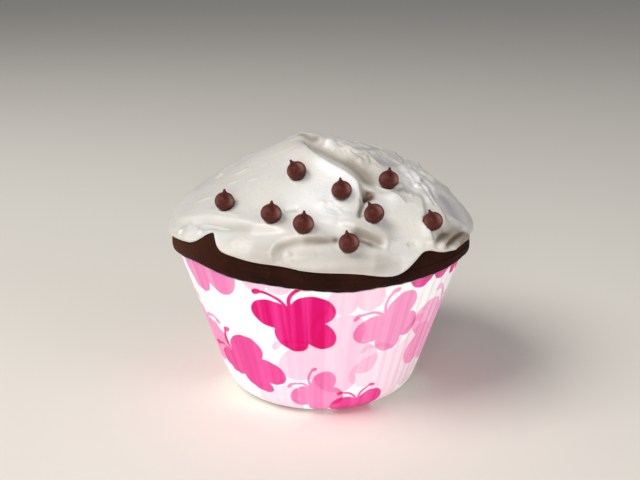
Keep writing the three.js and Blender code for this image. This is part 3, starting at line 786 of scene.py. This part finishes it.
# Painted highlights along the crest, on the lumps and on the lobes.
PAINTED_HIGHLIGHT_SPOTS = [
    (0.9, 1.6, 1.6, [(0, 0.315), (10, 0.395), (18, 0.455), (20, 0.51), (20, 0.565)]),
    (0.7, 1.2, 1.2, [(48, 0.66), (42, 0.765), (40, 0.855)]),
    dab(0.9, 0.7, 83, 0.535),
    dab(0.9, 0.7, 69, 0.545),
    dab(0.9, 0.8, 59, 0.565),
    (0.5, 2.6, 2.6, [(69, 0.495), (64, 0.545), (60, 0.605)]),
    dab(0.7, 0.7, 68, 0.58),
    dab(0.7, 0.8, 49, 0.535),
    dab(0.6, 0.6, 48, 0.595),
    dab(0.6, 0.6, 55, 0.645),
    dab(1.0, 0.7, -62, 0.88),
    dab(0.6, 0.7, -50, 0.815),
    dab(0.9, 7.5, 1, 0.545),
    dab(0.7, 1.1, 39, 0.18),
    dab(0.8, 1.8, 38, 0.575),
]

BUTTERCREAM = "#D3D0CB"
BUTTERCREAM_WARM = "#D9D4C8"
# The last four are a painted highlight and painted cool, grey and brown shade.
HIGHLIGHT_COLOUR = "#EDECEA"
COOL_SHADE_COLOUR = "#BBB6B6"
GREY_SHADE_COLOUR = "#A0978A"
BROWN_SHADE_COLOUR = "#6A4F36"

# The fine marks all over: how deep the streaks, tears and lumps are and how large, and
# between which angles the torn part on the right begins and ends.
STREAK_DEPTH = 0.04
STREAK_SIZE = 2.6
TEAR_DEPTH = 0.17
TEAR_SIZE = 4.2
TEAR_CLIMB = 34
LUMP_DEPTH = 0.04
LOW_LUMP_DEPTH = 0.08
LUMP_SIZE = 4.5
TORN_FROM = (34, 58)
TORN_TO = (125, 150)
# How the knife's sweep turns as it comes down, and how smooth it left the planes under painted cool
# shade.
SWEEP_TURN = 0.5
SWEEP_RADIUS = 30
SWEEP_START = 0.3
COOL_SMOOTHNESS = 0.85
# The gap under a pressed drop, and the rim that rises round it.
PRESS_GAP = 0.05
PRESS_RIM_HEIGHT = 0.16
PRESS_RIM_RADIUS = 2.05
PRESS_RIM_WIDTH = 0.45

FROSTING_STEPS = 560
FROSTING_CROWDING = 0.45
FROSTING_ROWS = 150
FROSTING_CEILING_ROWS = 12
FROSTING_ROLL_PARTS = (0.2, 0.5, 0.8)
SKIRT_HEIGHT = 30
TINY = 0.002


def dome_power(angle):
    return 2 / (FROSTING_POWER + FROSTING_POWER_SWING * np.sin(angle))


def dome_point(angle, station):
    """The frosting before its strokes: a lopsided dome, upright below its shoulder."""
    turn = np.minimum(station, 1) * QUARTER_TURN
    outwards = np.sin(turn) ** dome_power(angle)
    upwards = np.maximum(np.cos(turn), 0) ** dome_power(angle)
    height = FROSTING_SHOULDER_HEIGHT + (FROSTING_PEAK[2] - FROSTING_SHOULDER_HEIGHT) * upwards
    height = height - SKIRT_HEIGHT * np.maximum(station - 1, 0)
    point = at_radius(angle, FROSTING_RADIUS * outwards, height)
    point[..., 0] += FROSTING_PEAK[0] * (1 - outwards)
    point[..., 1] += FROSTING_PEAK[1] * (1 - outwards)
    return point


def dome_normal(angle, station):
    station = np.maximum(station, 2 * TINY)
    around = dome_point(angle + TINY, station) - dome_point(angle - TINY, station)
    down = dome_point(angle, station + TINY) - dome_point(angle, station - TINY)
    normal = np.cross(down, around)
    return normal / np.linalg.norm(normal, axis=-1, keepdims=True)


def hem_station(angle):
    """The station where the outside of the frosting reaches its rolled hem."""
    hem = edge_height(FROSTING_HEM_HEIGHT, FROSTING_HEM_LOBES, angle)
    above = hem + FROSTING_HEM_ROLL - FROSTING_SHOULDER_HEIGHT
    upwards = np.maximum(above, 0) / (FROSTING_PEAK[2] - FROSTING_SHOULDER_HEIGHT)
    over = np.arccos(upwards ** (1 / dome_power(angle))) / QUARTER_TURN
    return np.where(above > 0, over, 1 - above / SKIRT_HEIGHT)


def stroke_way(stops):
    """A stroke's way over the dome, as points on a smooth curve through its stops."""
    spots = np.array([dome_point(np.radians(angle), station) for angle, station in stops])
    if len(spots) == 1:
        return spots
    ends = np.concatenate([[2 * spots[0] - spots[1]], spots, [2 * spots[-1] - spots[-2]]])
    way = []
    for part in np.linspace(0, len(spots) - 1, STROKE_STEPS + 1):
        piece = min(int(part), len(spots) - 2)
        t = part - piece
        before, a, b, after = ends[piece:piece + 4]
        leaving = 0.5 * (b - before)
        arriving = 0.5 * (after - a)
        bend = 3 * (b - a) - 2 * leaving - arriving
        way.append(a + leaving * t + bend * t**2 + (2 * (a - b) + leaving + arriving) * t**3)
    return np.array(way)


def stroke_rise(stroke, point, normal):
    """What one stroke adds: full along its middle, dying away at its ends and sides."""
    height, left, right, stops = stroke
    way = stroke_way(stops)
    if len(way) == 1:
        return height * np.exp(-(np.linalg.norm(point - way[0], axis=-1) / left) ** 2)
    nearest = np.full(point.shape[:-1], np.inf)
    along = np.zeros_like(nearest)
    side = np.zeros_like(nearest)
    for index in range(len(way) - 1):
        start = way[index]
        run = way[index + 1] - start
        part = np.clip(((point - start) @ run) / (run @ run), 0, 1)
        apart = point - (start + part[..., None] * run)
        distance = np.linalg.norm(apart, axis=-1)
        closer = distance < nearest
        nearest = np.where(closer, distance, nearest)
        along = np.where(closer, (index + part) / (len(way) - 1), along)
        leftwards = (np.cross(normal, run) * apart).sum(-1)
        side = np.where(closer, leftwards, side)
    ends = smoothstep(np.minimum(along, 1 - along), 0, STROKE_FADE)
    return height * ends * np.exp(-(nearest / np.where(side > 0, left, right)) ** 2)


def strokes_rise(strokes, point, normal):
    return sum(stroke_rise(stroke, point, normal) for stroke in strokes)


def frosting_point(angle, station):
    """A point on the spread frosting, with the normal of the dome under it."""
    point = dome_point(angle, station)
    normal = dome_normal(angle, station)
    from_hem = np.linalg.norm(dome_point(angle, hem_station(angle)) - point, axis=-1)
    rise = FROSTING_HEM_SWELL * np.exp(-(from_hem / FROSTING_HEM_SWELL_WIDTH) ** 2)
    rise = rise + strokes_rise(STROKES, point, normal)
    return point + normal * rise[..., None], normal


def swept_place(angle, station, climb):
    """Places that follow the knife's sweep, so that noise there is drawn out along it."""
    radius = SWEEP_RADIUS * (SWEEP_START + station)
    return at_radius(angle + SWEEP_TURN * station, radius, climb * station)


def knife_marks(angle, station, point):
    """The fine relief that the knife left: drawn streaks, torn peaks on the right, soft lumps."""
    turned = (np.degrees(angle) + 180) % 360 - 180
    torn = smoothstep(turned, *TORN_FROM) * (1 - smoothstep(turned, *TORN_TO))
    # It is torn from just below the peak, less so on the lower part, where it is lumpier.
    torn = torn * smoothstep(station, 0.08, 0.2) * (1 - 0.75 * smoothstep(station, 0.62, 0.8))
    low = smoothstep(station, 0.78, 0.95)
    streaks = noise_at(swept_place(angle, station, 6), STREAK_SIZE, 3)
    slanted = at_radius(angle + 0.9 * station, SWEEP_RADIUS, TEAR_CLIMB * station)
    tears = 1 - 2 * np.abs(noise_at(slanted * [1, 1, 2.2], TEAR_SIZE, 4))
    lumps = (LUMP_DEPTH + LOW_LUMP_DEPTH * low) * noise_at(point + 20, LUMP_SIZE, 3)
    return STREAK_DEPTH * streaks * (1 - torn) + TEAR_DEPTH * tears * torn + lumps


def drop_seats():
    """The middle of each drop's belly, which is sunk a little into the frosting."""
    seats = []
    for angle, station, _ in DROPS:
        point, normal = frosting_point(np.radians(float(angle)), np.float64(station))
        seats.append(point + normal * (DROP_RADIUS - DROP_SINK))
    return seats


def press_drops(point, normal):
    """Presses the drops' hollows into the frosting, with a faint raised rim round each."""
    for middle in drop_seats():
        apart = point - middle
        deep = (apart * normal).sum(-1)
        across = np.sqrt(np.maximum((apart**2).sum(-1) - deep**2, 0))
        floor = -np.sqrt(np.maximum(DROP_RADIUS**2 - across**2, 0)) - PRESS_GAP
        near = np.linalg.norm(apart, axis=-1) < 2 * DROP_RADIUS
        pressed = near & (across < DROP_RADIUS) & (deep > floor)
        point = point + normal * np.where(pressed, floor - deep, 0)[..., None]
        rim = np.exp(-((across - PRESS_RIM_RADIUS) / PRESS_RIM_WIDTH) ** 2) * near * ~pressed
        point = point + normal * (PRESS_RIM_HEIGHT * rim)[..., None]
    return point


def frosting_material():
    # Buttercream: soft white fat and sugar. Light goes about a millimetre in, so its folds
    # glow warm, and the knife leaves a broken satin shine.
    material, tree = empty_material("vanilla_buttercream")
    place = add_node(tree, "ShaderNodeTexCoord").outputs["Object"]
    swept = add_node(tree, "ShaderNodeAttribute", attribute_name="swept").outputs["Vector"]
    # Patches are about 10 mm, streaks about 1 mm, grains of sugar about 0.7 mm, drawn
    # coarser than sugar is so that they show.
    patches = add_node(
        tree, "ShaderNodeTexNoise",
        {"Vector": place, "Scale": 95.0, "Detail": 3.0, "Roughness": 0.5},
    ).outputs["Fac"]
    streaks = add_node(
        tree, "ShaderNodeTexNoise",
        {"Vector": swept, "Scale": 0.9, "Detail": 4.0, "Roughness": 0.6},
    ).outputs["Fac"]
    grains = add_node(
        tree, "ShaderNodeTexNoise",
        {"Vector": place, "Scale": 1500.0, "Detail": 2.0, "Roughness": 0.5},
    ).outputs["Fac"]
    warm = add_node(
        tree, "ShaderNodeMapRange",
        {"Value": patches, "From Min": 0.42, "From Max": 0.66, "To Max": 0.7},
    ).outputs["Result"]
    colour = add_node(
        tree, "ShaderNodeMix",
        {"Factor": warm, "A": linear(BUTTERCREAM), "B": linear(BUTTERCREAM_WARM)},
        data_type="RGBA",
    ).outputs["Result"]
    # Over that, each where the mesh holds it: painted highlights and cool, grey and brown shade.
    for label, shade in [
        ("painted_highlight", HIGHLIGHT_COLOUR), ("painted_cool_shade", COOL_SHADE_COLOUR),
        ("painted_grey_shade", GREY_SHADE_COLOUR), ("painted_brown_shade", BROWN_SHADE_COLOUR),
    ]:
        share = add_node(tree, "ShaderNodeAttribute", attribute_name=label).outputs["Fac"]
        colour = add_node(
            tree, "ShaderNodeMix", {"Factor": share, "A": colour, "B": linear(shade)},
            data_type="RGBA",
        ).outputs["Result"]
    relief = add_node(
        tree, "ShaderNodeMath", {0: streaks, 1: grains, 2: grains}, operation="MULTIPLY_ADD"
    )
    bump = add_node(
        tree, "ShaderNodeBump",
        {"Strength": 0.35, "Distance": 0.00012, "Height": relief.outputs["Value"]},
    )
    roughness = add_node(
        tree, "ShaderNodeMapRange",
        {"Value": streaks, "From Min": 0.3, "From Max": 0.7, "To Min": 0.26, "To Max": 0.44},
    )
    shader = add_node(tree, "ShaderNodeBsdfPrincipled", {
        "Base Color": colour,
        "Roughness": roughness.outputs["Result"],
        "IOR": 1.46,
        "Subsurface Weight": 0.3,
        "Subsurface Radius": (1.0, 0.8, 0.6),
        "Subsurface Scale": 0.0009,
        "Normal": bump.outputs["Normal"],
    })
    add_node(tree, "ShaderNodeOutputMaterial", {"Surface": shader.outputs["BSDF"]})
    return material


def ceiling_turn(angle, height):
    foot = cake_lip_height(angle) + CAKE_LIP_RISE
    upwards = (height - foot) / (CAKE_TOP_HEIGHT + FROSTING_CEILING - foot)
    return np.arccos(upwards ** (CAKE_DOME_POWER / 2))


def make_frosting():
    angle = spaced_angles(FROSTING_STEPS, FROSTING_CROWDING)
    hem = edge_height(FROSTING_HEM_HEIGHT, FROSTING_HEM_LOBES, angle)
    inner_turn = ceiling_turn(angle, hem + FROSTING_HEM_ROLL)
    ceiling = []
    for row in range(1, FROSTING_CEILING_ROWS + 1):
        turn = inner_turn * math.sin(row / FROSTING_CEILING_ROWS * QUARTER_TURN)
        ceiling.append(cake_dome_point(angle, turn, CASE_GAP, FROSTING_CEILING))
    parts = np.arange(FROSTING_ROWS, 0, -1) / FROSTING_ROWS
    station = parts[:, None] * hem_station(angle)
    turned = np.broadcast_to(angle, station.shape)
    point, normal = frosting_point(turned, station)
    smooth = dome_point(turned, station)
    # Painted shade and painted highlights, each as a share of its colour.
    tints = {
        "painted_brown_shade": PAINTED_BROWN_SHADE_SPOTS,
        "painted_grey_shade": PAINTED_GREY_SHADE_SPOTS,
        "painted_cool_shade": PAINTED_COOL_SHADE_SPOTS,
        "painted_highlight": PAINTED_HIGHLIGHT_SPOTS,
    }
    shares = {}
    for label, spots in tints.items():
        shares[label] = np.minimum(strokes_rise(spots, smooth, normal), 1)
    # The painted cool shade lies on planes the knife pressed flat, which keep little of its marks.
    marks = knife_marks(turned, station, point) * (1 - COOL_SMOOTHNESS * shares["painted_cool_shade"])
    marks = marks + strokes_rise(FINE_STROKES, smooth, normal)
    point = press_drops(point + normal * marks[..., None], normal)
    inner = ceiling[-1]
    roll = []
    for part in FROSTING_ROLL_PARTS:
        across = inner + (point[0] - inner) * part
        across[:, 2] = inner[:, 2] + (point[0][:, 2] - inner[:, 2]) * part
        across[:, 2] -= FROSTING_HEM_ROLL * math.sin(part * math.pi)
        roll.append(across)
    rows = np.concatenate([np.stack(ceiling + roll), point])
    hidden = len(ceiling) + len(roll)
    all_station = np.concatenate([np.ones((hidden, FROSTING_STEPS)), station])
    all_turned = np.broadcast_to(angle, all_station.shape)
    values = {"swept": swept_place(all_turned, all_station, 4)}
    for label, share in shares.items():
        values[label] = np.concatenate([np.zeros((hidden, FROSTING_STEPS)), share])
    peak = frosting_point(np.float64(0.0), np.float64(0.0))[0]
    return closed_skin(
        "buttercream_frosting", rows, (0, 0, CAKE_TOP_HEIGHT + FROSTING_CEILING), peak,
        frosting_material(), values,
    )


frosting = make_frosting()
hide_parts("frosting")
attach(frosting, "root")

# ----------------------------------------
# The chocolate drops: nine small drops of dark chocolate, each let fall from a nozzle, so
# it has a flat base, a round belly and a short pulled tip that leans. They are pressed into
# the frosting while it is soft.

DROP_HEIGHT = 4.95
DROP_SHOULDER = 58
DROP_TIP_RADIUS = 0.26
DROP_TIP_CAP = 0.12
# The ridge down the front, in radians and mm, and the pull on the tip.
RIDGE_WIDTH = 0.34
RIDGE_SPREAD = 0.22
RIDGE_SPREAD_FROM = 2.2
RIDGE_RISE = 0.18
TIP_PULL = 0.12
TIP_PULL_FROM = 1.9
# The painted highlight on both shoulders: the turn from the front, half width and strength of each.
PAINTED_SHEEN_PATCHES = [(0.85, 0.36, 1.0), (-0.85, 0.4, 0.3)]
SHEEN_HEIGHT = 0.6
SHEEN_HALF_HEIGHT = 0.95
# How dark the painted shade is down the front ridge and towards the foot.
RIDGE_PAINTED_SHADE = 0.8
FOOT_PAINTED_SHADE = 0.75
DROP_STEPS = 48
DROP_BELLY_ROWS = 22
DROP_NECK_ROWS = 12

CHOCOLATE = "#582419"
CHOCOLATE_DEEP = "#461912"
CHOCOLATE_SHEEN_COLOUR = "#A46D63"
CHOCOLATE_SHADE_COLOUR = "#3F130B"


def chocolate_material():
    # Dark chocolate: set cocoa butter, satin smooth, with faint ripples from its fall.
    material, tree = empty_material("dark_chocolate_set")
    place = add_node(tree, "ShaderNodeTexCoord").outputs["Object"]
    # Ripples are about 1.5 mm across.
    ripples = add_node(
        tree, "ShaderNodeTexNoise",
        {"Vector": place, "Scale": 700.0, "Detail": 3.0, "Roughness": 0.5},
    ).outputs["Fac"]
    colour = add_node(
        tree, "ShaderNodeMix",
        {"Factor": ripples, "A": linear(CHOCOLATE_DEEP), "B": linear(CHOCOLATE)},
        data_type="RGBA",
    ).outputs["Result"]
    # A painted highlight lies on the shoulders, strongest on the right, and painted shade lies
    # on the ridge that runs down from the tip and towards the foot.
    for label, shade in [("painted_sheen", CHOCOLATE_SHEEN_COLOUR), ("ridge", CHOCOLATE_SHADE_COLOUR)]:
        share = add_node(tree, "ShaderNodeAttribute", attribute_name=label).outputs["Fac"]
        colour = add_node(
            tree, "ShaderNodeMix", {"Factor": share, "A": colour, "B": linear(shade)},
            data_type="RGBA",
        ).outputs["Result"]
    bump = add_node(
        tree, "ShaderNodeBump", {"Strength": 0.3, "Distance": 0.0001, "Height": ripples}
    )
    roughness = add_node(
        tree, "ShaderNodeMapRange", {"Value": ripples, "To Min": 0.42, "To Max": 0.58}
    )
    shader = add_node(tree, "ShaderNodeBsdfPrincipled", {
        "Base Color": colour,
        "Roughness": roughness.outputs["Result"],
        "IOR": 1.46,
        "Specular IOR Level": 0.22,
        "Normal": bump.outputs["Normal"],
    })
    add_node(tree, "ShaderNodeOutputMaterial", {"Surface": shader.outputs["BSDF"]})
    return material


def drop_profile():
    """The drop's outline from its base to its tip: radii and heights over the belly's middle."""
    base = -math.asin(DROP_BELLY_HEIGHT / DROP_BELLY_RISE)
    turn = np.linspace(base, math.radians(DROP_SHOULDER), DROP_BELLY_ROWS)
    radii = list(DROP_RADIUS * np.cos(turn))
    heights = list(DROP_BELLY_RISE * np.sin(turn))
    start = np.array([radii[-1], heights[-1]])
    waist = np.array([DROP_TIP_RADIUS, DROP_BELLY_RISE])
    tip = np.array([DROP_TIP_RADIUS, DROP_HEIGHT - DROP_BELLY_HEIGHT - DROP_TIP_CAP])
    for part in np.linspace(0, 1, DROP_NECK_ROWS + 1)[1:]:
        spot = (1 - part) ** 2 * start + 2 * part * (1 - part) * waist + part**2 * tip
        radii.append(spot[0])
        heights.append(spot[1])
    for turn in (40, 75):
        radii.append(DROP_TIP_RADIUS * math.cos(math.radians(turn)))
        heights.append(tip[1] + DROP_TIP_CAP * math.sin(math.radians(turn)))
    return np.array(radii), np.array(heights)


def make_drop(label, middle, lean, number, material):
    radii, heights = drop_profile()
    angle = spaced_angles(DROP_STEPS, 0)
    rows = at_radius(angle[None, :], radii[:, None], heights[:, None])
    height = rows[..., 2]
    turned = (angle + np.pi) % (2 * np.pi) - np.pi
    # A ridge runs down the front from the tip, narrow at the top and spread out below.
    spread = RIDGE_WIDTH + RIDGE_SPREAD * np.maximum(RIDGE_SPREAD_FROM - height, 0)
    ridge = np.exp(-((turned - 0.08 * np.sin(number)) / spread) ** 2)
    raised = ridge * smoothstep(height, -0.4, 1.4) * (1 - smoothstep(height, 2.3, 2.9))
    # No two bellies are quite round, or round in the same way.
    wave = 0.02 * np.sin(2 * angle + number) * (height < 1.5)
    rows[..., :2] *= (1 + wave + RIDGE_RISE * raised)[..., None]
    # The tip is drawn a little forwards as the nozzle lifts.
    pulled = TIP_PULL * np.maximum(height - TIP_PULL_FROM, 0) ** 2
    rows[..., 0] += 0.5 * pulled * math.cos(number * 2.4)
    rows[..., 1] -= pulled
    # Painted highlight on the shoulders, strongest on the right.
    shoulder = np.exp(-((height - SHEEN_HEIGHT) / SHEEN_HALF_HEIGHT) ** 2)
    painted_sheen = sum(share * np.exp(-((turned - side) / width) ** 2) for side, width, share in PAINTED_SHEEN_PATCHES)
    # Painted shade towards the foot, where the drop sits in the frosting.
    foot = FOOT_PAINTED_SHADE * (1 - smoothstep(height, -1.6, 0.6))
    # The ridge attribute holds the painted shade of the ridge and of the foot.
    values = {
        "painted_sheen": np.minimum(painted_sheen * shoulder, 1),
        "ridge": np.maximum(RIDGE_PAINTED_SHADE * ridge * (height > 0), foot),
    }
    leaning = np.array(Matrix.Rotation(-math.radians(lean), 3, "Y"))
    first = leaning @ [0, 0, -DROP_BELLY_HEIGHT] + middle
    last = leaning @ (rows[-1].mean(axis=0) + [0, 0, 0.01]) + middle
    return closed_skin(label, rows @ leaning.T + middle, first, last, material, values)


chocolate = chocolate_material()
for number, (middle, (_, _, lean)) in enumerate(zip(drop_seats(), DROPS), start=1):
    drop = make_drop(f"chocolate_drop_{number}", middle, lean, number, chocolate)
    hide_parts(f"drop_{number}")
    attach(drop, "root")

# ----------------------------------------
# The studio: a plain pale floor, a large soft light high on the left, weaker ones low at the
# front and the right, and the camera, a little above the cupcake and looking down on it.

FLOOR_COLOUR = "#F0EAE0"
FLOOR_HALF = 4.0
# Each light: name, angle, elevation, width in metres, power and colour.
LIGHTS = [
    ("window_light", -60, 50, 0.5, 6.0, "#FFFEFC"),
    ("front_light", -8, 12, 0.42, 3.4, "#FFFEFD"),
    ("right_light", 54, 12, 0.42, 2.1, "#FBFCFF"),
]
LIGHT_DISTANCE = 0.9
LIGHT_AIM = Vector((0, 0, 0.04))
AIR_COLOUR = "#F4F6FA"
AIR_STRENGTH = 0.22
CAMERA_PLACE = (0, -0.23, 0.11)
CAMERA_DOWN = 17.44
CAMERA_LENS = 52.6
CAMERA_SHIFT = -1 / 640


def make_floor():
    # Painted board: matt, with a trace of roller texture.
    material, tree = empty_material("painted_board_pale")
    place = add_node(tree, "ShaderNodeTexCoord").outputs["Object"]
    # Its grain is about 4 mm.
    grain = add_node(
        tree, "ShaderNodeTexNoise", {"Vector": place, "Scale": 260.0, "Detail": 3.0}
    ).outputs["Fac"]
    bump = add_node(
        tree, "ShaderNodeBump", {"Strength": 0.1, "Distance": 0.0001, "Height": grain}
    )
    shader = add_node(tree, "ShaderNodeBsdfPrincipled", {
        "Base Color": linear(FLOOR_COLOUR),
        "Roughness": 0.75,
        "Normal": bump.outputs["Normal"],
    })
    add_node(tree, "ShaderNodeOutputMaterial", {"Surface": shader.outputs["BSDF"]})
    mesh = bpy.data.meshes.new("studio_floor")
    corners = [(-1, -1), (1, -1), (1, 1), (-1, 1)]
    mesh.from_pydata([(x * FLOOR_HALF, y * FLOOR_HALF, 0) for x, y in corners], [], [(0, 1, 2, 3)])
    mesh.materials.append(material)
    floor = bpy.data.objects.new("studio_floor", mesh)
    bpy.context.scene.collection.objects.link(floor)
    return floor


def add_light(label, azimuth, elevation, size, power, colour):
    """A soft square light that looks at the middle of the cupcake."""
    lamp = bpy.data.lights.new(label, "AREA")
    lamp.size = size
    lamp.energy = power
    lamp.color = linear(colour)[:3]
    light = bpy.data.objects.new(label, lamp)
    turn = math.radians(azimuth)
    rise = math.radians(elevation)
    flat = LIGHT_DISTANCE * math.cos(rise)
    away = Vector((flat * math.sin(turn), -flat * math.cos(turn), LIGHT_DISTANCE * math.sin(rise)))
    light.location = LIGHT_AIM + away
    light.rotation_euler = away.to_track_quat("Z", "Y").to_euler()
    bpy.context.scene.collection.objects.link(light)


floor = make_floor()
for light in LIGHTS:
    add_light(*light)

world = bpy.data.worlds.new("studio_air")
world.use_nodes = True
world.node_tree.nodes["Background"].inputs["Color"].default_value = linear(AIR_COLOUR)
world.node_tree.nodes["Background"].inputs["Strength"].default_value = AIR_STRENGTH
bpy.context.scene.world = world
bpy.context.scene.view_settings.view_transform = "Standard"

camera_data = bpy.data.cameras.new("camera")
camera_data.lens = CAMERA_LENS
camera_data.sensor_width = 36
camera_data.shift_x = CAMERA_SHIFT
camera_data.clip_start = 0.01
camera = bpy.data.objects.new("camera", camera_data)
camera.location = CAMERA_PLACE
camera.rotation_euler = (math.radians(90 - CAMERA_DOWN), 0, 0)
bpy.context.scene.collection.objects.link(camera)
bpy.context.scene.camera = camera
